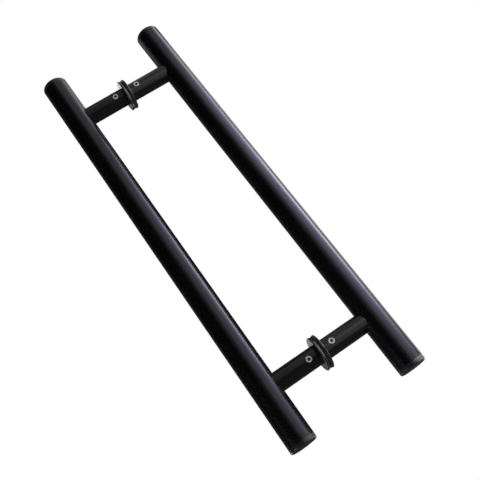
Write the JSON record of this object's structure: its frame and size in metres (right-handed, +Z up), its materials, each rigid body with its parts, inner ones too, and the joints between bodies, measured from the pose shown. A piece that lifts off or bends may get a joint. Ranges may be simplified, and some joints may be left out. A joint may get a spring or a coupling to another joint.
{
  "type": "ladder pull handle",
  "caption": "Back-to-back pair of straight round ladder pull handles in satin black, joined through the door at their posts by flanged bosses and studs.",
  "frame": {"origin": "midway between the two fixings, in the plane where the two halves meet, which is where the door leaf goes", "axes": "+Z up along the bars, +Y through the door from the outside to the inside, +X across the door, out of the side that the set screws face"},
  "size_m": [0.044, 0.189, 0.6],
  "materials": {
    "bar_coat": "satin",
    "cap_coat": "satin",
    "post_coat": "satin",
    "boss_coat": "satin",
    "gasket_rubber": "matte",
    "set_screw_steel": "machined",
    "bolt_steel": "zinc plated",
    "nut_steel": "zinc plated",
    "stud_steel": "zinc plated"
  },
  "bodies": {
    "root": {"bar_outside": "bar_coat", "end_cap_outside_top": "cap_coat", "post_outside_top": "post_coat", "boss_outside_top": "boss_coat", "gasket_outside_top": "gasket_rubber", "set_screw_outside_top": "set_screw_steel", "post_bolt_outside_top": "bolt_steel", "saddle_nut_outside_top": "nut_steel", "end_cap_outside_bottom": "cap_coat", "post_outside_bottom": "post_coat", "boss_outside_bottom": "boss_coat", "gasket_outside_bottom": "gasket_rubber", "set_screw_outside_bottom": "set_screw_steel", "post_bolt_outside_bottom": "bolt_steel", "saddle_nut_outside_bottom": "nut_steel", "bar_inside": "bar_coat", "end_cap_inside_top": "cap_coat", "post_inside_top": "post_coat", "boss_inside_top": "boss_coat", "gasket_inside_top": "gasket_rubber", "set_screw_inside_top": "set_screw_steel", "post_bolt_inside_top": "bolt_steel", "saddle_nut_inside_top": "nut_steel", "end_cap_inside_bottom": "cap_coat", "post_inside_bottom": "post_coat", "boss_inside_bottom": "boss_coat", "gasket_inside_bottom": "gasket_rubber", "set_screw_inside_bottom": "set_screw_steel", "post_bolt_inside_bottom": "bolt_steel", "saddle_nut_inside_bottom": "nut_steel", "joining_stud_top": "stud_steel", "joining_stud_bottom": "stud_steel"}
  },
  "joints": []
}
